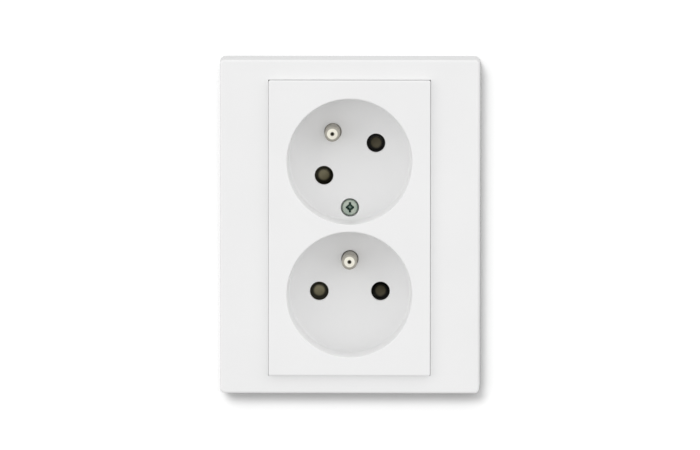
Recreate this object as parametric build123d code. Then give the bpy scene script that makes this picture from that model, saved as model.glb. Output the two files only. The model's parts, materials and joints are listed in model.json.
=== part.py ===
from build123d import *
from math import atan2, cos, degrees, radians, sin, sqrt
import os

# Double wall socket with two round wells, the upper one turned, built from 24 separate pieces.
# Millimetres. While it is modelled, X is to the right and Y is up for someone who faces the
# socket, and Z comes out of the wall, with Z = 0 at the wall's surface and X = Y = 0 midway
# between the two wells. The export turns all of it, so that the front faces -Y and +Z is up.

# Pins and wells, as the plug standard sets them
PIN_PITCH = 19.0
EARTH_OFFSET = 10.0
EARTH_PIN_R = 2.4
EARTH_PIN_REACH = 14.0
EARTH_PIN_TIP_R = 1.8
EARTH_PIN_EDGE = 0.65
EARTH_PIN_DOME = 0.12
EARTH_PIN_CENTRE_R = 0.55
EARTH_SHANK_R = 2.2
WELL_DEPTH = 15.5
WELL_SPACING = 41.0
UPPER_TURN = 32.0
WELLS = {"upper": (WELL_SPACING / 2, UPPER_TURN), "lower": (-WELL_SPACING / 2, 0.0)}

# Cover frame, whose outline sits a little higher than its opening
FRAME_W = 79.7
FRAME_H = 102.9
FRAME_RISE = 0.35
FRAME_FACE_Z = 18.5
FRAME_WALL = 2.0
FRAME_DRAFT = 1.6
FRAME_CORNER_R = 1.2
FRAME_EDGE_R = 0.7
FRAME_ROOM_R = 0.6
FRAME_RIB_X = (-16, 0, 16)
FRAME_RIB_Y = (-36, -12, 12, 36)
FRAME_RIB_Z = 6.0
OPENING_W = 50.0
OPENING_H = 91.3
OPENING_EDGE = 0.1
OPENING_WALL = 1.6
LEDGE = 2.0
LEDGE_TOP_Z = 12.0
LEDGE_THICK = 2.0

# Socket cover, the proud middle part with the wells
COVER_W = 49.8
COVER_H = 91.1
COVER_FACE_Z = 20.5
COVER_WALL = 1.8
COVER_EDGE_R = 0.45
COVER_CORNER_R = 0.5
COVER_RIB_X = 16.0
COVER_RIB_START = 14.0
RIM_R = 19.35
FLOOR_R = 19.1
WELL_WALL = 1.3
RIM_ROUND = 0.3
FLOOR_FILLET = 0.9
FLOOR_Z = COVER_FACE_Z - WELL_DEPTH
FLOOR_THICK = 1.5
HOLE_R = 2.9
HOLE_CHAMFER = 0.2
EARTH_HOLE_R = 2.65
EARTH_HOLE_CHAMFER = 0.08
RIB = 1.2

# Cover screw and the threaded hole that takes it
SCREW_Y = 5.5
SCREW_HEAD_R = 2.5
SCREW_HEAD_H = 1.9
SCREW_SEAT_R = 2.85
SCREW_SHANK_R = 1.48
SCREW_END_Z = -6.5
CROSS_WINGS = {90: 1.6, 0: 1.3}
CROSS_SLOT = 0.7
CROSS_CORE_R = 1.05
CROSS_DEPTH = 1.2
BOSS_R = 3.7

# Legs of the cover, each a cross in plan with a round peg at its foot
LEG_THICK = 1.6
LEG_HALF_X = 1.7
LEG_HALF_Y = 3.0
PEG_X = 21.5
PEG_R = 1.2
PEG_END_Z = -2.2
PEG_LEAD = 0.8

# Mounting strap
STRAP_THICK = 1.2
STRAP_W = 71.0
STRAP_EAR_H = 22.0
STRAP_BODY_W = 49.0
STRAP_BODY_H = 33.0
STRAP_EAR_R = 3.0
STRAP_BODY_R = 2.5
STRAP_PAD_R = 4.2
COLLAR_R = 2.4
COLLAR_END_Z = -1.4
FIXING_PITCH = 60.0
FIXING_SLOT = 8.0
FIXING_R = 2.1
STRAP_SCREW_X = 21.6
STRAP_SCREW_Y = 12.6
STRAP_SCREW_R = 1.28
STRAP_SCREW_HEAD_R = 2.4
STRAP_SCREW_HEAD_H = 1.6
STRAP_SCREW_LENGTH = 7.0

# Base housing that fits a round wall box
BASE_R = 31.5
BASE_W = 49.0
BASE_BACK_Z = -22.0
DECK_Z = -3.0
RECESS_R = 13.7

# Contact covers, which carry the shutters
LID_R = 13.4
LID_TOP_Z = -1.5
POST_R = 1.5
POST_TOP_Z = 3.1
LID_SCREW_R = 9.9
LID_SCREW_ANGLES = {"upper": (133.0, -52.0), "lower": (133.0, 47.0)}
LID_SCREW_SHANK_R = 0.98
LID_SCREW_HEAD_R = 1.85
LID_SCREW_LENGTH = 5.0
LID_FUNNEL_R = 2.75
LID_FUNNEL_TOP_R = 3.3

# Shutters
SHUTTER_GAP = 0.3
SHUTTER_SWING = 38.0
PADDLE_IN_R = 6.3
PADDLE_OUT_R = 12.6
PADDLE_HALF = 21.0
PADDLE_BACK_Z = -1.2
PADDLE_TOP_Z = FLOOR_Z - FLOOR_THICK - SHUTTER_GAP
PADDLE_LOW_Z = -0.4
PAD_R = 1.95
PAD_RISE = 0.9
HUB_R = 2.5
WEB_W = 5.2
WEB_THICK = 0.9
HUB_CLEARANCE = 0.08
STOP_R = 0.8
STOP_AT_R = 11.3
SPRING_R = 3.3
SPRING_WIRE_R = 0.2
SPRING_Z = 0.15
SPRING_PITCH = 0.5
SPRING_TURNS = 4
SPRING_PEG_R = 0.6
SPRING_PEG_AT_R = 7.0
SPRING_PEG_ANGLE = 252.0
SPRING_HOOK_AT_R = 5.6
SPRING_HOOK_ANGLE = 165.0

# Contact strips of folded brass
SHEET = 0.8
SLEEVE_IN_R = 2.3
SLEEVE_OUT_R = 2.95
SLEEVE_TOP_Z = -4.5
SLEEVE_END_Z = -14.5
BUS_TOP_Z = -9.0
BUS_END_Z = -14.5
POCKET_R = 3.9
POCKET_END_Z = -17.0
EARTH_TOP_Z = -3.0
EARTH_THICK = 1.0
EARTH_WIDTH = 4.4
EARTH_EYE_R = 3.3
EARTH_FOLD_R = 0.7

# Screw terminals
SIDE_TERMINAL_R = 18.4
EARTH_TERMINAL_R = 25.8
TERMINAL_Z = -13.0
TERMINAL_SCREW_R = 1.72
CLAMP_GAP = 2.3
CLAMP_THICK = 1.2
CLAMP_W = 11.0
CLAMP_H = 10.0
TERMINAL_HEAD_R = 3.1
TERMINAL_HEAD_H = 1.9
TERMINAL_SCREW_LENGTH = 6.6
TERMINAL_COLLAR_R = 2.7
TERMINAL_COLLAR_H = 1.2
TERMINAL_HALF_H = 6.0
WIRE_R = 1.3
WIRE_SPACING = 8.0
CHAMBER_TOP_Z = -6.0
CHAMBER_END_Z = -20.0
TERMINALS = {
    "live": (180.0, SIDE_TERMINAL_R),
    "neutral": (0.0, SIDE_TERMINAL_R),
    "earth": (-90.0, EARTH_TERMINAL_R),
}


def polar(radius, angle):
    return radius * cos(radians(angle)), radius * sin(radians(angle))


def well(name):
    """Location of a well's own axes: its contacts lie on local X, its earth pin on local +Y."""
    centre_y, turn = WELLS[name]
    return Location((0, centre_y, 0), (0, 0, turn))


def in_well(name, radius, angle):
    """Point at a radius and angle in a well, in the socket's axes."""
    centre_y, turn = WELLS[name]
    x, y = polar(radius, angle + turn)
    return x, y + centre_y


def rod(radius, z0, z1, at=(0, 0)):
    """Upright cylinder between two heights."""
    return Pos(at[0], at[1], (z0 + z1) / 2) * Cylinder(radius, z1 - z0)


def block(x0, x1, y0, y1, z0, z1):
    """Box between two corners."""
    middle = Pos((x0 + x1) / 2, (y0 + y1) / 2, (z0 + z1) / 2)
    return middle * Box(x1 - x0, y1 - y0, z1 - z0)


def slab(outline, z0, z1):
    """Flat outline stood up between two heights."""
    return extrude(Plane.XY.offset(z0) * outline, z1 - z0)


def turned(*points):
    """Solid of revolution about Z from a profile of (radius, height) points."""
    profile = make_face(Plane.XZ * Polyline(*points, close=True))
    return revolve(profile, Axis.Z)


def path_band(points, width, z0, z1):
    """Strip of constant width along a bent path, stood up between two heights."""
    return slab(trace(Polyline(*points), width), z0, z1)


def contact_points(name):
    """Left and right contact centres of a well."""
    return in_well(name, PIN_PITCH / 2, 180), in_well(name, PIN_PITCH / 2, 0)


def earth_point(name):
    return in_well(name, EARTH_OFFSET, 90)


def frame_shell():
    """Drafted outer box of the frame with its rounded edges, hollow from behind."""
    face = Plane((0, FRAME_RISE, FRAME_FACE_Z)) * RectangleRounded(FRAME_W, FRAME_H, FRAME_CORNER_R)
    outer = extrude(face, -FRAME_FACE_Z, taper=-FRAME_DRAFT)
    outer = fillet(outer.edges().group_by(Axis.Z)[-1], FRAME_EDGE_R)
    ceiling = FRAME_FACE_Z - FRAME_WALL
    room = RectangleRounded(FRAME_W - 2 * FRAME_WALL, FRAME_H - 2 * FRAME_WALL, FRAME_ROOM_R)
    inside = extrude(Plane((0, FRAME_RISE, ceiling)) * room, -ceiling - 1, taper=-FRAME_DRAFT)
    return outer - inside


def frame_ribs():
    """Stiffening ribs between the outer wall and the opening's wall."""
    ribs = Part()
    inner_x = OPENING_W / 2 + OPENING_WALL / 2
    outer_x = FRAME_W / 2 - FRAME_WALL / 2
    inner_y = OPENING_H / 2 + OPENING_WALL / 2
    outer_y = FRAME_H / 2 - FRAME_WALL / 2
    for side in (-1, 1):
        for y in FRAME_RIB_Y:
            xs = sorted((side * inner_x, side * outer_x))
            ribs += block(*xs, y - RIB / 2, y + RIB / 2, FRAME_RIB_Z, FRAME_FACE_Z - 1)
        for x in FRAME_RIB_X:
            ys = sorted((side * inner_y, side * outer_y))
            ribs += block(x - RIB / 2, x + RIB / 2, *ys, FRAME_RIB_Z, FRAME_FACE_Z - 1)
    return ribs


def cover_frame():
    """Outer frame: shell, opening with its wall, and the ledge that the socket cover clamps."""
    wall = Rectangle(OPENING_W + 2 * OPENING_WALL, OPENING_H + 2 * OPENING_WALL)
    ledge_hole = Rectangle(OPENING_W - 2 * LEDGE, OPENING_H - 2 * LEDGE)
    opening = Rectangle(OPENING_W, OPENING_H)
    frame = frame_shell() + slab(wall, LEDGE_TOP_Z - LEDGE_THICK, FRAME_FACE_Z - 0.5) + frame_ribs()
    frame -= slab(ledge_hole, -1, FRAME_FACE_Z + 1)
    frame -= slab(opening, LEDGE_TOP_Z, FRAME_FACE_Z + 1)
    rim = frame.edges().filter_by(lambda e: abs(e.center().Z - FRAME_FACE_Z) < 0.01)
    rim = rim.filter_by(lambda e: abs(e.center().X) < OPENING_W / 2 + 0.1)
    rim = rim.filter_by(lambda e: abs(e.center().Y) < OPENING_H / 2 + 0.1)
    return chamfer(rim, OPENING_EDGE)


def well_cup():
    """Outside of one well: a slightly tapered tube with a floor."""
    return turned(
        (0, FLOOR_Z - FLOOR_THICK),
        (FLOOR_R + WELL_WALL, FLOOR_Z - FLOOR_THICK),
        (RIM_R + WELL_WALL, COVER_FACE_Z),
        (0, COVER_FACE_Z),
    )


def well_hollow():
    """Inside of one well with the round at its floor and the soft edge at its rim."""
    top = COVER_FACE_Z
    cone = turned((0, FLOOR_Z), (FLOOR_R, FLOOR_Z), (RIM_R, top), (0, top))
    cone = fillet(cone.edges().group_by(Axis.Z)[0], FLOOR_FILLET)
    bead = Pos(0, 0, top - RIM_ROUND) * Torus(RIM_R + RIM_ROUND, RIM_ROUND)
    lip = rod(RIM_R + 2 * RIM_ROUND, top, top + 1)
    ring = rod(RIM_R + RIM_ROUND, top - RIM_ROUND, top) - bead
    return cone + ring + lip


def floor_hole(at, radius, edge):
    """Through hole in a well's floor, with a small chamfer at the front."""
    x, y = at
    low = FLOOR_Z - FLOOR_THICK - 1
    high = FLOOR_Z + 0.5
    flare = turned((0, low), (radius, low), (radius, FLOOR_Z - edge), (radius + edge, FLOOR_Z),
                   (radius + edge, high), (0, high))
    return Pos(x, y, 0) * flare


def cover_shell():
    """Face plate and skirt of the socket cover, hollow from behind."""
    outer = slab(RectangleRounded(COVER_W, COVER_H, COVER_CORNER_R), LEDGE_TOP_Z, COVER_FACE_Z)
    outer = fillet(outer.edges().group_by(Axis.Z)[-1], COVER_EDGE_R)
    inside = Rectangle(COVER_W - 2 * COVER_WALL, COVER_H - 2 * COVER_WALL)
    return outer - slab(inside, LEDGE_TOP_Z - 1, COVER_FACE_Z - COVER_WALL)


def cover_ribs():
    """Ribs from the wells to the skirt."""
    ribs = Part()
    for centre_y, turn in WELLS.values():
        for side in (-1, 1):
            xs = sorted((side * (RIM_R + WELL_WALL / 2), side * (COVER_W / 2 - 1)))
            ribs += block(*xs, centre_y - RIB / 2, centre_y + RIB / 2, LEDGE_TOP_Z, COVER_FACE_Z - 1)
    for side in (-1, 1):
        ys = sorted((side * (WELL_SPACING / 2 + COVER_RIB_START), side * (COVER_H / 2 - 1)))
        for x in (-COVER_RIB_X, COVER_RIB_X):
            ribs += block(x - RIB / 2, x + RIB / 2, *ys, LEDGE_TOP_Z, COVER_FACE_Z - 1)
    return ribs


def locating_leg(side):
    """Cross-ribbed leg with a round peg that enters the strap and the base."""
    foot = STRAP_THICK + 0.1
    half = LEG_THICK / 2
    leg = block(-LEG_HALF_X, LEG_HALF_X, -half, half, foot, COVER_FACE_Z - 1)
    leg += block(-half, half, -LEG_HALF_Y, LEG_HALF_Y, foot, COVER_FACE_Z - 1)
    leg += turned((0, PEG_END_Z), (PEG_R - 0.5, PEG_END_Z), (PEG_R, PEG_END_Z + PEG_LEAD),
                  (PEG_R, foot + 0.5), (0, foot + 0.5))
    return Pos(side * PEG_X, 0, 0) * leg


def socket_cover():
    """Middle cover with both wells, the screw boss, ribs and the two locating legs."""
    cover = cover_shell() + cover_ribs() + locating_leg(-1) + locating_leg(1)
    for name in WELLS:
        cover += Pos(0, WELLS[name][0], 0) * well_cup()
    cover += rod(BOSS_R, STRAP_THICK, FLOOR_Z - 0.5, (0, SCREW_Y))
    for name in WELLS:
        cover -= Pos(0, WELLS[name][0], 0) * well_hollow()
    for name in WELLS:
        for at in contact_points(name):
            cover -= floor_hole(at, HOLE_R, HOLE_CHAMFER)
        cover -= floor_hole(earth_point(name), EARTH_HOLE_R, EARTH_HOLE_CHAMFER)
    seat_z = FLOOR_Z - 0.15 - SCREW_HEAD_H
    cover -= rod(SCREW_SEAT_R, seat_z, FLOOR_Z + 1, (0, SCREW_Y))
    cover -= rod(SCREW_SHANK_R + 0.25, 0, FLOOR_Z, (0, SCREW_Y))
    return cover


def cross_recess(top_z, depth):
    """Tapered cross recess of a screw head, with the cone where its wings meet."""
    recess = turned((0, top_z - depth), (0.3, top_z - depth), (CROSS_CORE_R, top_z), (0, top_z))
    for turn, reach in CROSS_WINGS.items():
        wing = Plane.XY.offset(top_z) * Rectangle(2 * reach, CROSS_SLOT)
        recess += Rot(0, 0, turn) * extrude(wing, -depth, taper=12)
    return recess


def cover_screw():
    """Cheese-head screw that pulls the socket cover onto the strap."""
    top = FLOOR_Z - 0.15
    under = top - SCREW_HEAD_H
    screw = turned(
        (0, SCREW_END_Z), (SCREW_SHANK_R - 0.5, SCREW_END_Z), (SCREW_SHANK_R, SCREW_END_Z + 0.6),
        (SCREW_SHANK_R, under), (SCREW_HEAD_R, under), (SCREW_HEAD_R, top - 0.35),
        (SCREW_HEAD_R - 0.35, top), (0, top),
    )
    return Pos(0, SCREW_Y, 0) * (screw - cross_recess(top, CROSS_DEPTH))


def mounting_strap():
    """Steel strap with the slots for the box screws and a drawn, threaded hole in its middle."""
    plan = RectangleRounded(STRAP_W, STRAP_EAR_H, STRAP_EAR_R)
    plan += RectangleRounded(STRAP_BODY_W, STRAP_BODY_H, STRAP_BODY_R)
    for centre_y, turn in WELLS.values():
        plan -= Pos(0, centre_y) * Circle(RECESS_R - 0.1)
    plan += Pos(0, SCREW_Y) * Circle(STRAP_PAD_R)
    for side in (-1, 1):
        plan -= Pos(side * FIXING_PITCH / 2, 0) * SlotOverall(FIXING_SLOT, 2 * FIXING_R)
        plan -= Pos(side * PEG_X, 0) * Circle(PEG_R + 0.3)
        for y in (-STRAP_SCREW_Y, STRAP_SCREW_Y):
            plan -= Pos(side * STRAP_SCREW_X, y) * Circle(STRAP_SCREW_R + 0.22)
    strap = slab(plan, 0, STRAP_THICK)
    strap += rod(COLLAR_R, COLLAR_END_Z, 0.5, (0, SCREW_Y))
    return strap - rod(SCREW_SHANK_R + 0.02, -2, STRAP_THICK + 1, (0, SCREW_Y))


def pan_screw(head_r, head_h, shank_r, length):
    """Pan-head screw with a slot, its head's underside at z = 0 and its point down."""
    screw = turned(
        (0, -length), (shank_r * 0.4, -length), (shank_r, -length + 1.2), (shank_r, 0),
        (head_r, 0), (head_r, head_h * 0.5), (head_r * 0.75, head_h), (0, head_h),
    )
    return screw - block(-head_r, head_r, -0.4, 0.4, head_h * 0.45, head_h + 1)


def strap_screws():
    """Four screws that hold the strap to the base."""
    spots = [(x, y) for x in (-STRAP_SCREW_X, STRAP_SCREW_X) for y in (-STRAP_SCREW_Y, STRAP_SCREW_Y)]
    one = pan_screw(STRAP_SCREW_HEAD_R, STRAP_SCREW_HEAD_H, STRAP_SCREW_R, STRAP_SCREW_LENGTH)
    return Compound([Pos(x, y, STRAP_THICK) * one for x, y in spots])


def lid_screws():
    """Four countersunk screws, two for each contact cover."""
    end = DECK_Z - LID_SCREW_LENGTH
    one = turned((0, end), (0.4, end), (LID_SCREW_SHANK_R, end + 1), (LID_SCREW_SHANK_R, LID_TOP_Z - 1),
                 (LID_SCREW_HEAD_R, LID_TOP_Z - 0.1), (0, LID_TOP_Z - 0.1))
    one -= block(-2, 2, -0.25, 0.25, LID_TOP_Z - 0.6, LID_TOP_Z)
    spots = [in_well(name, LID_SCREW_R, angle) for name in WELLS for angle in LID_SCREW_ANGLES[name]]
    return Compound([Pos(x, y, 0) * one for x, y in spots])


def side_of(name):
    """Location of a terminal: local X points out of the base, with X = 0 at the sheet's outer face."""
    angle, radius = TERMINALS[name]
    return Location((0, 0, 0), (0, 0, angle)) * Pos(radius, 0, TERMINAL_Z)


def clamp_plate(name):
    """Plate that presses two wires on the strip, with a hole for the screw and turned-in ends."""
    plate = block(CLAMP_GAP, CLAMP_GAP + CLAMP_THICK, -CLAMP_W / 2, CLAMP_W / 2, -CLAMP_H / 2, CLAMP_H / 2)
    for side in (-1, 1):
        groove = Pos(CLAMP_GAP - 0.9, side * WIRE_SPACING / 2, 0) * Cylinder(1.3, CLAMP_H + 1)
        plate -= groove
    plate -= Rot(0, 90, 0) * Cylinder(TERMINAL_SCREW_R + 0.15, 20)
    return side_of(name) * plate


def terminal_screw(name):
    """Slotted screw of a terminal, threaded into the strip."""
    screw = pan_screw(TERMINAL_HEAD_R, TERMINAL_HEAD_H, TERMINAL_SCREW_R, TERMINAL_SCREW_LENGTH)
    return side_of(name) * Pos(CLAMP_GAP + CLAMP_THICK, 0, 0) * Rot(0, 90, 0) * screw


def terminal_plate(half_w):
    """Part of a strip under the clamp plate, with a drawn and threaded hole."""
    plate = block(-SHEET, 0, -half_w, half_w, -TERMINAL_HALF_H, TERMINAL_HALF_H)
    collar = Cylinder(TERMINAL_COLLAR_R, TERMINAL_COLLAR_H)
    plate += Pos(-SHEET - TERMINAL_COLLAR_H / 2, 0, 0) * Rot(0, 90, 0) * collar
    return plate - Rot(0, 90, 0) * Cylinder(TERMINAL_SCREW_R + 0.03, 20)


def sleeve(at, slot_angle):
    """Round spring contact: a rolled tube with a flared mouth, slit along one side."""
    tube = turned(
        (SLEEVE_IN_R, SLEEVE_END_Z), (SLEEVE_OUT_R, SLEEVE_END_Z), (SLEEVE_OUT_R, SLEEVE_TOP_Z - 1),
        (SLEEVE_OUT_R + 0.6, SLEEVE_TOP_Z), (SLEEVE_IN_R + 0.6, SLEEVE_TOP_Z),
        (SLEEVE_IN_R, SLEEVE_TOP_Z - 1.2),
    )
    slit = block(0, 5, -0.5, 0.5, SLEEVE_END_Z - 1, SLEEVE_TOP_Z + 1)
    return Pos(at[0], at[1], 0) * (tube - Rot(0, 0, slot_angle) * slit)


def strip_path(name):
    """Bends of a strip from its upper to its lower contact, seen from the front."""
    side = -1 if name == "live" else 1
    index = 0 if name == "live" else 1
    upper = contact_points("upper")[index]
    lower = contact_points("lower")[index]
    reach = SLEEVE_OUT_R - SHEET / 2
    run_x = side * (SIDE_TERMINAL_R - SHEET / 2)
    knee_x = side * (abs(upper[0]) + 4.6) if name == "neutral" else side * (SIDE_TERMINAL_R - 3)
    knee_y = upper[1] - 8.5 if name == "neutral" else upper[1] - 3
    return [
        (upper[0] + side * reach, upper[1]), (knee_x, upper[1]), (run_x, knee_y),
        (run_x, lower[1] + 3), (side * (SIDE_TERMINAL_R - 3), lower[1]), (lower[0] + side * reach, lower[1]),
    ]


def contact_strip(name):
    """Live or neutral strip: two sleeves, the folded sheet between them and the terminal plate."""
    side = 180 if name == "live" else 0
    index = 0 if name == "live" else 1
    strip = path_band(strip_path(name), SHEET, BUS_END_Z, BUS_TOP_Z)
    for well_name in WELLS:
        at = contact_points(well_name)[index]
        strip -= rod(SLEEVE_IN_R + 0.2, BUS_END_Z - 1, BUS_TOP_Z + 1, at)
        strip += sleeve(at, side + 180)
    strip += side_of(name) * terminal_plate(6)
    bore = side_of(name) * Rot(0, 90, 0) * Cylinder(TERMINAL_SCREW_R + 0.03, 8)
    return strip - bore


def earth_path():
    """Route of the earth strip past the contacts and the cover screw."""
    return [earth_point("upper"), (0.5, 20), (5.4, 12), (5.4, 0), (0, -6.5), (0, -EARTH_TERMINAL_R + 1)]


def earth_strip():
    """Flat strip that carries both earth pins, folded down at the bottom as the earth terminal."""
    z0 = EARTH_TOP_Z - EARTH_THICK
    strip = path_band(earth_path(), EARTH_WIDTH, z0, EARTH_TOP_Z)
    for name in WELLS:
        strip += rod(EARTH_EYE_R, z0, EARTH_TOP_Z, earth_point(name))
    front = -EARTH_TERMINAL_R
    strip += block(-3, 3, front, front + 4, z0, EARTH_TOP_Z)
    strip += block(-3, 3, front, front + SHEET, TERMINAL_Z, EARTH_TOP_Z)
    outer_edge = strip.edges().filter_by(Axis.X).filter_by(
        lambda e: abs(e.center().Y - front) < 0.01 and abs(e.center().Z - EARTH_TOP_Z) < 0.01)
    strip = fillet(outer_edge, EARTH_FOLD_R)
    strip += side_of("earth") * terminal_plate(5.5)
    strip -= side_of("earth") * Rot(0, 90, 0) * Cylinder(TERMINAL_SCREW_R + 0.03, 8)
    for name in WELLS:
        strip -= rod(1.5, z0 - 1, 0, earth_point(name))
    return strip


def earth_pin(name):
    """Earth pin with a rounded edge, a slightly domed tip and its centre mark, riveted to the strip."""
    x, y = earth_point(name)
    tip = FLOOR_Z + EARTH_PIN_REACH
    shoulder = (EARTH_PIN_R, tip - EARTH_PIN_DOME - EARTH_PIN_EDGE)
    brow = (EARTH_PIN_TIP_R, tip - EARTH_PIN_DOME)
    back = EARTH_TOP_Z - EARTH_THICK
    with BuildPart() as pin:
        with BuildSketch(Plane.XZ):
            with BuildLine():
                Polyline((0, back - 0.9), (1.9, back - 0.9), (2.1, back), (1.48, back), (1.48, EARTH_TOP_Z),
                         (3.0, EARTH_TOP_Z), (3.0, LID_TOP_Z), (EARTH_SHANK_R, LID_TOP_Z),
                         (EARTH_SHANK_R, FLOOR_Z), (EARTH_PIN_R, FLOOR_Z + 0.3), shoulder)
                Spline(shoulder, brow, tangents=((0, 1), (-1, 0.1)))
                Polyline(brow, (EARTH_PIN_CENTRE_R, tip), (0.0, tip - 0.45), (0, back - 0.9))
            make_face()
        revolve(axis=Axis.Z)
    return Pos(x, y, 0) * pin.part


def contact_cover(name):
    """Insulating lid over one well's contacts, with the shutter's post, stops and spring peg."""
    outline = Circle(LID_R) & Pos(0, -WELLS[name][0]) * Circle(BASE_R - 0.4)
    lid = slab(outline, DECK_Z, LID_TOP_Z)
    lid += rod(POST_R, DECK_Z, POST_TOP_Z) + rod(HUB_R, DECK_Z, LID_TOP_Z + 0.1)
    turn = WELLS[name][1]
    fittings = rod(SPRING_PEG_R, DECK_Z, 1.0, polar(SPRING_PEG_AT_R, SPRING_PEG_ANGLE))
    half = PADDLE_HALF + degrees((STOP_R + SHUTTER_GAP) / STOP_AT_R)
    for angle in (180 + half, 180 - SHUTTER_SWING - half):
        fittings += rod(STOP_R, DECK_Z, 0.4, polar(STOP_AT_R, angle))
    lid += Rot(0, 0, turn) * fittings
    funnel = turned((0, DECK_Z - 1), (LID_FUNNEL_R, DECK_Z - 1), (LID_FUNNEL_R, DECK_Z + 0.6),
                    (LID_FUNNEL_TOP_R, LID_TOP_Z), (LID_FUNNEL_TOP_R, 0), (0, 0))
    for angle in (0, 180):
        x, y = polar(PIN_PITCH / 2, angle + turn)
        lid -= Pos(x, y, 0) * funnel
    lid -= rod(3.1, DECK_Z - 1, 0, polar(EARTH_OFFSET, 90 + turn))
    narrow = LID_SCREW_SHANK_R + 0.12
    wide = LID_SCREW_HEAD_R + 0.15
    screw_hole = turned((0, DECK_Z - 1), (narrow, DECK_Z - 1), (narrow, LID_TOP_Z - 1), (wide, LID_TOP_Z),
                        (wide, 0), (0, 0))
    for angle in LID_SCREW_ANGLES[name]:
        x, y = polar(LID_SCREW_R, angle + turn)
        lid -= Pos(x, y, 0) * screw_hole
    return Pos(0, WELLS[name][0], 0) * lid


def paddle():
    """One shutter paddle about local +X: a ramp that a pin pushes aside, with a round pad on it."""
    z0 = PADDLE_BACK_Z
    z1 = PADDLE_TOP_Z
    reach = PADDLE_OUT_R + 4
    wedge = make_face(Polyline((0, 0), polar(reach, -PADDLE_HALF), polar(reach, PADDLE_HALF), close=True))
    sector = slab(Circle(PADDLE_OUT_R) - Circle(PADDLE_IN_R), z0, z1) & slab(wedge, z0, z1)
    half = PIN_PITCH / 2 * sin(radians(PADDLE_HALF))
    slope = degrees(atan2(z1 - PADDLE_LOW_Z, 2 * half))
    above = Pos(0, 0, (z1 + PADDLE_LOW_Z) / 2) * Rot(-slope, 0, 0) * Pos(0, 0, 10) * Box(60, 40, 20)
    pad = rod(PAD_R, z0, z1, (PIN_PITCH / 2, 0)) - Pos(0, 0, PAD_RISE) * above
    return (sector - above) + pad


def shutter(name):
    """Shutter of one well: a hub on a post, a web and two paddles over the contact holes."""
    hub_z0 = LID_TOP_Z + 0.2
    body = rod(HUB_R, hub_z0, POST_TOP_Z - 0.3)
    web = slab(Rectangle(2 * PADDLE_IN_R + 1, WEB_W), hub_z0, hub_z0 + WEB_THICK)
    body += web + paddle() + Rot(0, 0, 180) * paddle()
    body += rod(SPRING_PEG_R, hub_z0, 2.4, polar(SPRING_HOOK_AT_R, SPRING_HOOK_ANGLE))
    body -= rod(POST_R + HUB_CLEARANCE, hub_z0 - 1, POST_TOP_Z + 1)
    return well(name) * body


def shutter_spring(name):
    """Torsion spring round the hub: its straight legs press on the lid's peg and the shutter's peg."""
    inner = SPRING_R - SPRING_PEG_R - SPRING_WIRE_R
    lead = sqrt(SPRING_PEG_AT_R ** 2 - inner ** 2)
    tail = sqrt(SPRING_HOOK_AT_R ** 2 - inner ** 2)
    start = SPRING_PEG_ANGLE + degrees(atan2(lead, inner))
    end = SPRING_HOOK_ANGLE - degrees(atan2(tail, inner))
    turns = SPRING_TURNS - (start - end) / 360
    coil = Helix(SPRING_PITCH, SPRING_PITCH * turns, SPRING_R)
    first = Line(coil @ 0 - (coil % 0) * (lead + 0.8), coil @ 0)
    last = Line(coil @ 1, coil @ 1 + (coil % 1) * (tail + 0.25))
    path = Wire([*first.edges(), *coil.edges(), *last.edges()])
    wire = sweep(Plane(origin=first @ 0, z_dir=first % 0) * Circle(SPRING_WIRE_R), path=path)
    return well(name) * Pos(0, 0, SPRING_Z) * Rot(0, 0, start) * wire


def base_pockets():
    """Hollows of the base that take the strips and their contacts from the front."""
    cuts = Part()
    for name in ("live", "neutral"):
        index = 0 if name == "live" else 1
        cuts += path_band(strip_path(name), SHEET + 1.0, BUS_END_Z - 0.6, 1)
        for well_name in WELLS:
            cuts += rod(POCKET_R, POCKET_END_Z, 1, contact_points(well_name)[index])
        place = side_of(name)
        cuts += place * block(-SHEET - 0.4, 0.4, -6.4, 6.4, -6.4, -TERMINAL_Z + 1)
        cuts += place * block(-SHEET - 1.6, 0, -3.1, 3.1, -3.1, -TERMINAL_Z + 1)
    return cuts


def earth_channel():
    """Channel and fold-down space of the earth strip."""
    z0 = EARTH_TOP_Z - EARTH_THICK - 0.1
    cut = path_band(earth_path(), EARTH_WIDTH + 0.8, z0, 1)
    for name in WELLS:
        cut += rod(EARTH_EYE_R + 0.4, z0, 1, earth_point(name))
        cut += rod(2.6, z0 - 1.4, 1, earth_point(name))
    place = side_of("earth")
    cut += place * block(-4.4, 0.4, -3.4, 3.4, z0 - TERMINAL_Z, -TERMINAL_Z + 1)
    cut += place * block(-SHEET - 0.4, 0.4, -5.9, 5.9, -6.4, -TERMINAL_Z + 1)
    cut += place * block(-SHEET - 1.6, 0, -3.1, 3.1, -3.1, -TERMINAL_Z + 1)
    return cut


def terminal_chamber(name):
    """Open side chamber of a terminal, its screw's end space and the two wire entries behind it."""
    half = 7.2 if name != "earth" else 6.4
    chamber = block(0.1, 20, -half, half, CHAMBER_END_Z - TERMINAL_Z, CHAMBER_TOP_Z - TERMINAL_Z)
    chamber += Pos(-2.4, 0, 0) * Rot(0, 90, 0) * Cylinder(2.2, 4.8)
    for side in (-1, 1):
        back = BASE_BACK_Z - TERMINAL_Z
        entry = turned((0, back - 1), (WIRE_R + 0.9, back - 1), (WIRE_R + 0.9, back), (WIRE_R, back + 0.9),
                       (WIRE_R, back + 4), (0, back + 4))
        chamber += Pos(CLAMP_GAP / 2, side * WIRE_SPACING / 2, 0) * entry
    return side_of(name) * chamber


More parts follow.
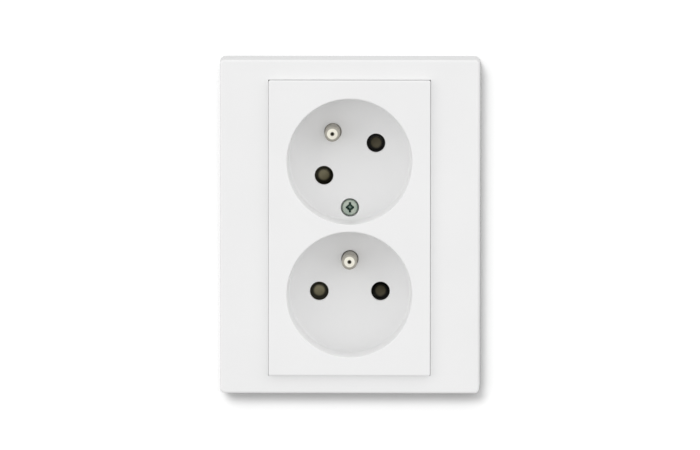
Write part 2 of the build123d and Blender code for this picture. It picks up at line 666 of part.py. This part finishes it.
def base_housing():
    """Moulded base that holds the contacts and terminals inside the wall box."""
    plan = Circle(BASE_R) & Rectangle(BASE_W, 2 * BASE_R + 2)
    base = slab(plan, BASE_BACK_Z, 0)
    base = chamfer(base.faces().sort_by(Axis.Z)[0].edges(), 0.8)
    for centre_y, turn in WELLS.values():
        base -= rod(RECESS_R, DECK_Z, 1, (0, centre_y))
    base -= base_pockets()
    base -= earth_channel()
    for name in TERMINALS:
        base -= terminal_chamber(name)
    base -= rod(2.7, -1.7, 1, (0, SCREW_Y))
    base -= rod(1.9, SCREW_END_Z - 1, 1, (0, SCREW_Y))
    for side in (-1, 1):
        base -= rod(PEG_R + 0.3, -3, 1, (side * PEG_X, 0))
        for y in (-STRAP_SCREW_Y, STRAP_SCREW_Y):
            base -= rod(1.3, -7, 1, (side * STRAP_SCREW_X, y))
    for name in WELLS:
        for angle in LID_SCREW_ANGLES[name]:
            at = in_well(name, LID_SCREW_R, angle)
            base -= rod(LID_SCREW_SHANK_R + 0.02, DECK_Z - LID_SCREW_LENGTH - 0.5, 0, at)
    return base


def pieces():
    """Every node with its solid."""
    nodes = {
        "cover_frame": cover_frame(),
        "socket_cover": socket_cover(),
        "cover_screw": cover_screw(),
        "mounting_strap": mounting_strap(),
        "strap_screws": strap_screws(),
        "base_housing": base_housing(),
        "contact_cover_screws": lid_screws(),
        "live_contact_strip": contact_strip("live"),
        "neutral_contact_strip": contact_strip("neutral"),
        "earth_strip": earth_strip(),
    }
    for name in WELLS:
        nodes[name + "_contact_cover"] = contact_cover(name)
        nodes[name + "_shutter"] = shutter(name)
        nodes[name + "_shutter_spring"] = shutter_spring(name)
        nodes[name + "_earth_pin"] = earth_pin(name)
    for name in TERMINALS:
        nodes[name + "_clamp_plate"] = clamp_plate(name)
        nodes[name + "_terminal_screw"] = terminal_screw(name)
    return nodes


os.makedirs("parts", exist_ok=True)
for node, solid in pieces().items():
    export_step(Rot(90, 0, 0) * solid, "parts/" + node + ".step")
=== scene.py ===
import json
from math import cos, radians, sin

import bpy
from mathutils import Matrix, Vector


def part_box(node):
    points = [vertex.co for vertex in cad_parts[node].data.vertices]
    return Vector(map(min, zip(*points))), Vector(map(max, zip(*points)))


# The camera: a long lens a little above and to the right of the middle of the front
IMAGE_WIDTH = 700
PIXELS_PER_MM = 3.2483
CAMERA_DISTANCE = 2.05
CAMERA_ELEVATION = 3.776
CAMERA_AZIMUTH = 0.589
CAMERA_ROLL = 0.0434
CAMERA_REACH = 20
SENSOR_WIDTH = 36.0
AIM_X = 0.000187
AIM_Z = 0.001045

# Wall, open behind the frame
WALL_SIZE = 3.0
WALL_GAP = 0.0001
WALL_TONE = 0.29
WALL_DRIFT = 1.02
WALL_ROUGHNESS = 0.9
WALL_SPECULAR = 0.1
OPENING_INSET = 0.002

# Painted light and shade, and a dark pin tip centre: where each starts and ends to fade, in metres,
# and its colour
PAD_LIGHT_SPOT = (0.0012, 0.0021)
LIT_LEFT_HALF = (-0.001, 0.001)
SHADED_RIGHT_PAD_COLOUR = (0.088, 0.075, 0.043)
SHADED_LEFT_SHUTTER_COLOUR = (0.045, 0.041, 0.024)
DEEP_SHADED_RIGHT_SHUTTER_COLOUR = (0.004, 0.003, 0.002)
RECESS_SHADE = (0.0002, 0.0006)
RECESS_REACH = (0.0024, 0.0026)
RECESS_CENTRE = (0.0002, 0.0009)
RECESS_CENTRE_SHINE = 0.45
RECESS_SHADE_COLOUR = (0.025, 0.10, 0.082)
TIP_FACE = (0.0015, 0.0018)
PIN_SIDE_SHADE_COLOUR = (0.47, 0.45, 0.40)
TIP_CENTRE = (0.0004, 0.0008)
TIP_CENTRE_COLOUR = (0.05, 0.045, 0.03)

# Size of the pattern in each material, in cycles for each metre
PLASTIC_DRIFT = 45
PLASTIC_GLOSS = 160
METAL_CLOUDS = 300
METAL_GLOSS = 700
WALL_CLOUDS = 6

# The part of a noise pattern's range that a colour or a number follows
COLOUR_SPAN = (0.35, 0.65)
NUMBER_SPAN = (0.3, 0.7)

# Lights: azimuth and elevation that they come from, softness in degrees, and strength
LIGHTS = {
    "front": (0, 4, 24, 0.04),
    "front_right": (30, 30, 50, 0.07),
    "left": (-50, 5, 50, 0.455),
    "right": (50, 5, 50, 0.27),
    "top_left": (-60, 50, 60, 0.36),
    "top_right": (60, 50, 60, 0.41),
}
WALL_LIGHTS = {
    "wall_narrow": (-6.5, 13, 10, 3.7),
    "wall_wide": (-5, 11, 40, 6.2),
}
WORLD_LIGHT = 0.646


def new_material(name):
    """Empty node material with its Principled shader, returned with the shader and the node tree."""
    material = bpy.data.materials.new(name)
    material.use_nodes = True
    tree = material.node_tree
    return material, tree.nodes["Principled BSDF"], tree


def noise(tree, scale, detail=3.0, roughness=0.5, stretch=(1, 1, 1)):
    """Noise in the object's own coordinates, in cycles for each metre."""
    coords = tree.nodes.new("ShaderNodeTexCoord")
    mapping = tree.nodes.new("ShaderNodeMapping")
    mapping.inputs["Scale"].default_value = stretch
    texture = tree.nodes.new("ShaderNodeTexNoise")
    texture.inputs["Scale"].default_value = scale
    texture.inputs["Detail"].default_value = detail
    texture.inputs["Roughness"].default_value = roughness
    tree.links.new(coords.outputs["Object"], mapping.inputs["Vector"])
    tree.links.new(mapping.outputs["Vector"], texture.inputs["Vector"])
    return texture.outputs["Fac"]


def ramp(tree, source, low, high):
    """Colour that runs from low to high with a 0 to 1 source."""
    node = tree.nodes.new("ShaderNodeValToRGB")
    node.color_ramp.elements[0].position, node.color_ramp.elements[1].position = COLOUR_SPAN
    node.color_ramp.elements[0].color = (*low, 1)
    node.color_ramp.elements[1].color = (*high, 1)
    tree.links.new(source, node.inputs["Fac"])
    return node.outputs["Color"]


def spread(tree, source, low, high):
    """Number that runs from low to high with a 0 to 1 source."""
    node = tree.nodes.new("ShaderNodeMapRange")
    node.inputs["From Min"].default_value, node.inputs["From Max"].default_value = NUMBER_SPAN
    node.inputs["To Min"].default_value = low
    node.inputs["To Max"].default_value = high
    tree.links.new(source, node.inputs["Value"])
    return node.outputs["Result"]


def bump(tree, shader, source, depth):
    """Small relief of a given depth in metres."""
    node = tree.nodes.new("ShaderNodeBump")
    node.inputs["Distance"].default_value = depth
    tree.links.new(source, node.inputs["Height"])
    tree.links.new(node.outputs["Normal"], shader.inputs["Normal"])


def math_node(tree, operation, first, second):
    """One step of arithmetic on two values, each a number or another node's output."""
    node = tree.nodes.new("ShaderNodeMath")
    node.operation = operation
    for socket, value in zip(node.inputs, (first, second)):
        if isinstance(value, (int, float)):
            socket.default_value = value
        else:
            tree.links.new(value, socket)
    return node.outputs["Value"]


def fade(tree, source, start, end):
    """1 up to a start value and 0 from an end value on."""
    node = tree.nodes.new("ShaderNodeMapRange")
    node.interpolation_type = "SMOOTHSTEP"
    node.inputs["From Min"].default_value = start
    node.inputs["From Max"].default_value = end
    node.inputs["To Min"].default_value = 1
    node.inputs["To Max"].default_value = 0
    tree.links.new(source, node.inputs["Value"])
    return node.outputs["Result"]


def near_axes(tree, points, inner, outer):
    """1 within a radius of any of the axes, which run front to back, fading to 0 at a wider radius."""
    coords = tree.nodes.new("ShaderNodeTexCoord")
    flat = tree.nodes.new("ShaderNodeVectorMath")
    flat.operation = "MULTIPLY"
    flat.inputs[1].default_value = (1, 0, 1)
    tree.links.new(coords.outputs["Object"], flat.inputs[0])
    nearest = None
    for x, y, z in points:
        distance = tree.nodes.new("ShaderNodeVectorMath")
        distance.operation = "DISTANCE"
        distance.inputs[1].default_value = (x, 0, z)
        tree.links.new(flat.outputs["Vector"], distance.inputs[0])
        reach = distance.outputs["Value"]
        nearest = reach if nearest is None else math_node(tree, "MINIMUM", nearest, reach)
    return fade(tree, nearest, inner, outer)


def away_from_axes(tree, points, inner, outer):
    """The reverse of near_axes: 0 near an axis and 1 away from all of them."""
    return math_node(tree, "SUBTRACT", 1, near_axes(tree, points, inner, outer))


def low_side(tree, axis, start, end):
    """1 up to a place on one of the object's axes, fading to 0 at a second one."""
    coords = tree.nodes.new("ShaderNodeTexCoord")
    split = tree.nodes.new("ShaderNodeSeparateXYZ")
    tree.links.new(coords.outputs["Object"], split.inputs["Vector"])
    return fade(tree, split.outputs[axis], start, end)


def tint(tree, shader, mask, colour):
    """Keeps the shader's colour where the mask is 1 and turns it to another where it is 0."""
    link = shader.inputs["Base Color"].links[0]
    mix = tree.nodes.new("ShaderNodeMix")
    mix.data_type = "RGBA"
    mix.inputs["A"].default_value = (*colour, 1)
    tree.links.new(mask, mix.inputs["Factor"])
    tree.links.new(link.from_socket, mix.inputs["B"])
    tree.links.new(mix.outputs["Result"], shader.inputs["Base Color"])


def plastic(name, low, high, rough, grain, depth, specular=0.5):
    """Moulded plastic: slow colour drift, uneven gloss and a fine moulded grain."""
    material, shader, tree = new_material(name)
    tree.links.new(ramp(tree, noise(tree, PLASTIC_DRIFT), low, high), shader.inputs["Base Color"])
    tree.links.new(spread(tree, noise(tree, PLASTIC_GLOSS), *rough), shader.inputs["Roughness"])
    shader.inputs["Specular IOR Level"].default_value = specular
    bump(tree, shader, noise(tree, grain, 2.0), depth)
    return material


def metal(name, low, high, rough, scale, depth, stretch=(1, 1, 1)):
    """Plated or rolled metal with cloudy colour and a fine directional grain."""
    material, shader, tree = new_material(name)
    shader.inputs["Metallic"].default_value = 1.0
    tree.links.new(ramp(tree, noise(tree, METAL_CLOUDS, 4.0), low, high), shader.inputs["Base Color"])
    tree.links.new(spread(tree, noise(tree, METAL_GLOSS, 3.0), *rough), shader.inputs["Roughness"])
    bump(tree, shader, noise(tree, scale, 3.0, 0.5, stretch), depth)
    return material


def shutter_plastic(pads):
    """Black plastic painted with a dull olive light spot on each pad, seen through its hole, and
    painted shade around it, the right side painted darker than the left.
    """
    material = plastic("shutter_plastic", (0.16, 0.144, 0.086), (0.27, 0.243, 0.148),
                       (0.42, 0.58), 1800, 0.00001, 0.3)
    tree = material.node_tree
    shader = tree.nodes["Principled BSDF"]
    # Painted light and shade: olive light spots on the pads, dark shade around them, and darker shade
    # over the right half.
    left = low_side(tree, "X", *LIT_LEFT_HALF)
    pad_light_spot = near_axes(tree, pads, *PAD_LIGHT_SPOT)
    tint(tree, shader, left, SHADED_RIGHT_PAD_COLOUR)
    tint(tree, shader, pad_light_spot, SHADED_LEFT_SHUTTER_COLOUR)
    tint(tree, shader, math_node(tree, "MAXIMUM", left, pad_light_spot), DEEP_SHADED_RIGHT_SHUTTER_COLOUR)
    return material


def zinc_screw(head):
    """Zinc plating with a green cast, with painted shade in the recess of the cover screw's head,
    lifted at its centre by a painted reflection.
    """
    material = metal("zinc_screw", (0.36, 0.45, 0.39), (0.58, 0.63, 0.55),
                     (0.30, 0.44), 2500, 0.000008)
    tree = material.node_tree
    axis = [(head[0] + head[1]) / 2]
    front = head[0].y
    # Painted shade in the cross recess of the cover screw's head, partly lifted at its centre as a
    # painted reflection.
    shallow = low_side(tree, "Y", front + RECESS_SHADE[0], front + RECESS_SHADE[1])
    away = away_from_axes(tree, axis, *RECESS_REACH)
    centre = math_node(tree, "MULTIPLY", RECESS_CENTRE_SHINE, near_axes(tree, axis, *RECESS_CENTRE))
    bright = math_node(tree, "MAXIMUM", math_node(tree, "MAXIMUM", shallow, away), centre)
    tint(tree, tree.nodes["Principled BSDF"], bright, RECESS_SHADE_COLOUR)
    return material


def nickel(axes):
    """Plating of the turned earth pins: bright on the tip's face, painted shade on the pin's sides and
    rounded tip edge, dark at the tip's centre.
    """
    material = metal("nickel", (0.93, 0.90, 0.80), (0.99, 0.965, 0.87),
                     (0.55, 0.70), 3000, 0.000004, (1, 9, 1))
    tree = material.node_tree
    shader = tree.nodes["Principled BSDF"]
    # Painted shade: the pin's sides and rounded tip edge are tinted grey; only the tip's face keeps
    # the bright plating.
    tint(tree, shader, near_axes(tree, axes, *TIP_FACE), PIN_SIDE_SHADE_COLOUR)
    tint(tree, shader, away_from_axes(tree, axes, *TIP_CENTRE), TIP_CENTRE_COLOUR)
    return material


def materials(frame):
    """One finished material for each of the record's slots."""
    mounts = {mount["name"]: mount["pos_m"] for mount in frame["record"]["mounts"]}
    pads = [place for name, place in mounts.items() if name.endswith("contact_hole")]
    pins = [place for name, place in mounts.items() if name.endswith("earth_pin")]
    return {
        "white_plastic": plastic("white_plastic", (0.945, 0.945, 0.945), (0.96, 0.96, 0.96),
                                 (0.30, 0.38), 2600, 0.000004),
        "base_plastic": plastic("base_plastic", (0.52, 0.53, 0.53), (0.58, 0.585, 0.58),
                                (0.45, 0.60), 1800, 0.00002, 0.4),
        "lid_plastic": plastic("lid_plastic", (0.010, 0.010, 0.009), (0.018, 0.017, 0.015),
                               (0.40, 0.55), 1800, 0.00001, 0.4),
        "shutter_plastic": shutter_plastic(pads),
        "zinc_steel": metal("zinc_steel", (0.50, 0.53, 0.54), (0.66, 0.68, 0.68),
                            (0.26, 0.42), 1500, 0.00001, (1, 1, 8)),
        "zinc_screw": zinc_screw(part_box("cover_screw")),
        "spring_steel": metal("spring_steel", (0.34, 0.34, 0.34), (0.46, 0.46, 0.45),
                              (0.22, 0.34), 2500, 0.000005),
        "brass": metal("brass", (0.66, 0.47, 0.19), (0.80, 0.60, 0.28),
                       (0.22, 0.38), 1500, 0.000008, (1, 1, 6)),
        "nickel": nickel(pins),
    }


def dress(frame):
    """Gives each node the finished material of its slot."""
    finished = materials(frame)
    for entry in frame["record"]["subparts"]:
        piece = frame["nodes"][entry["node"]]
        piece.data.materials.clear()
        piece.data.materials.append(finished[entry["material_slot"]])


def wall_material(name, tone):
    """Paint that is seen from the front only, so that a view from behind looks through the wall."""
    material, shader, tree = new_material(name)
    colour = ramp(tree, noise(tree, WALL_CLOUDS), (tone,) * 3, (tone * WALL_DRIFT,) * 3)
    tree.links.new(colour, shader.inputs["Base Color"])
    shader.inputs["Roughness"].default_value = WALL_ROUGHNESS
    shader.inputs["Specular IOR Level"].default_value = WALL_SPECULAR
    geometry = tree.nodes.new("ShaderNodeNewGeometry")
    clear = tree.nodes.new("ShaderNodeBsdfTransparent")
    mix = tree.nodes.new("ShaderNodeMixShader")
    output = tree.nodes["Material Output"]
    tree.links.new(geometry.outputs["Backfacing"], mix.inputs["Fac"])
    tree.links.new(shader.outputs["BSDF"], mix.inputs[1])
    tree.links.new(clear.outputs["BSDF"], mix.inputs[2])
    tree.links.new(mix.outputs["Shader"], output.inputs["Surface"])
    return material


def ring(x0, x1, z0, z1, y):
    """Four corners of an upright rectangle, seen from the front."""
    return [(x0, y, z0), (x1, y, z0), (x1, y, z1), (x0, y, z1)]


def add_wall():
    """Plain pale wall at the frame's back, open behind the frame. Light doesn't bounce off it."""
    low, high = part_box("cover_frame")
    half = WALL_SIZE / 2
    outside = ring(-half, half, -half, half, WALL_GAP)
    inside = ring(low.x + OPENING_INSET, high.x - OPENING_INSET, low.z + OPENING_INSET,
                  high.z - OPENING_INSET, WALL_GAP)
    sides = [(i, (i + 1) % 4, (i + 1) % 4 + 4, i + 4) for i in range(4)]
    mesh = bpy.data.meshes.new("wall")
    mesh.from_pydata(outside + inside, [], sides)
    mesh.materials.append(wall_material("wall_paint", WALL_TONE))
    wall = bpy.data.objects.new("wall", mesh)
    bpy.context.scene.collection.objects.link(wall)
    wall.visible_diffuse = wall.visible_glossy = False
    return wall


def direction(azimuth, elevation):
    """Unit vector from the object towards an azimuth and elevation, where 0 and 0 is the front."""
    a = radians(azimuth)
    e = radians(elevation)
    return Vector((sin(a) * cos(e), -cos(a) * cos(e), sin(e)))


def add_light(name, azimuth, elevation, softness, strength):
    """Soft light from far away."""
    sun = bpy.data.lights.new(name, "SUN")
    sun.energy = strength
    sun.angle = radians(softness)
    light = bpy.data.objects.new(name, sun)
    light.rotation_mode = "QUATERNION"
    light.rotation_quaternion = direction(azimuth, elevation).to_track_quat("Z", "Y")
    bpy.context.scene.collection.objects.link(light)
    return light


def add_lights(wall):
    """Even white room, soft lights on the socket, and two on the wall alone for its shadow."""
    world = bpy.data.worlds.new("room")
    world.use_nodes = True
    background = world.node_tree.nodes["Background"]
    background.inputs["Color"].default_value = (1, 1, 1, 1)
    background.inputs["Strength"].default_value = WORLD_LIGHT
    bpy.context.scene.world = world
    wall_only = bpy.data.collections.new("wall_only")
    all_but_wall = bpy.data.collections.new("all_but_wall")
    for linked in (wall_only, all_but_wall):
        linked.objects.link(wall)
    all_but_wall.collection_objects[0].light_linking.link_state = "EXCLUDE"
    for name, values in LIGHTS.items():
        add_light(name, *values).light_linking.receiver_collection = all_but_wall
    for name, values in WALL_LIGHTS.items():
        add_light(name, *values).light_linking.receiver_collection = wall_only


def add_camera(front_y):
    """Camera at the photograph's angle and distance."""
    lens = bpy.data.cameras.new("camera")
    lens.sensor_width = SENSOR_WIDTH
    width_there = IMAGE_WIDTH / PIXELS_PER_MM / 1000
    lens.lens = SENSOR_WIDTH * CAMERA_DISTANCE / width_there
    lens.clip_end = CAMERA_REACH
    camera = bpy.data.objects.new("camera", lens)
    towards = direction(CAMERA_AZIMUTH, CAMERA_ELEVATION)
    aim = Vector((AIM_X, front_y, AIM_Z))
    turn = towards.to_track_quat("Z", "Y").to_matrix() @ Matrix.Rotation(radians(CAMERA_ROLL), 3, "Z")
    camera.matrix_world = Matrix.Translation(aim + towards * CAMERA_DISTANCE) @ turn.to_4x4()
    bpy.context.scene.collection.objects.link(camera)
    bpy.context.scene.camera = camera


with open("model.json") as file:
    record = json.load(file)
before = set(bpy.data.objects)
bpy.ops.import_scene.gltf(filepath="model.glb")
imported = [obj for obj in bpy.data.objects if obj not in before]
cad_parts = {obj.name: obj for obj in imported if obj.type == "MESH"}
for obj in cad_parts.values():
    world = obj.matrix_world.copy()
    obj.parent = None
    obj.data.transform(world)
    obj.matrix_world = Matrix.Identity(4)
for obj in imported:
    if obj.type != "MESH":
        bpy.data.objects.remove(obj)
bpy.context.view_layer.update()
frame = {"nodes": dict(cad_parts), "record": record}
add_camera(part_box("socket_cover")[0].y)
add_lights(add_wall())
dress(frame)
bpy.context.scene.view_settings.view_transform = "Standard"
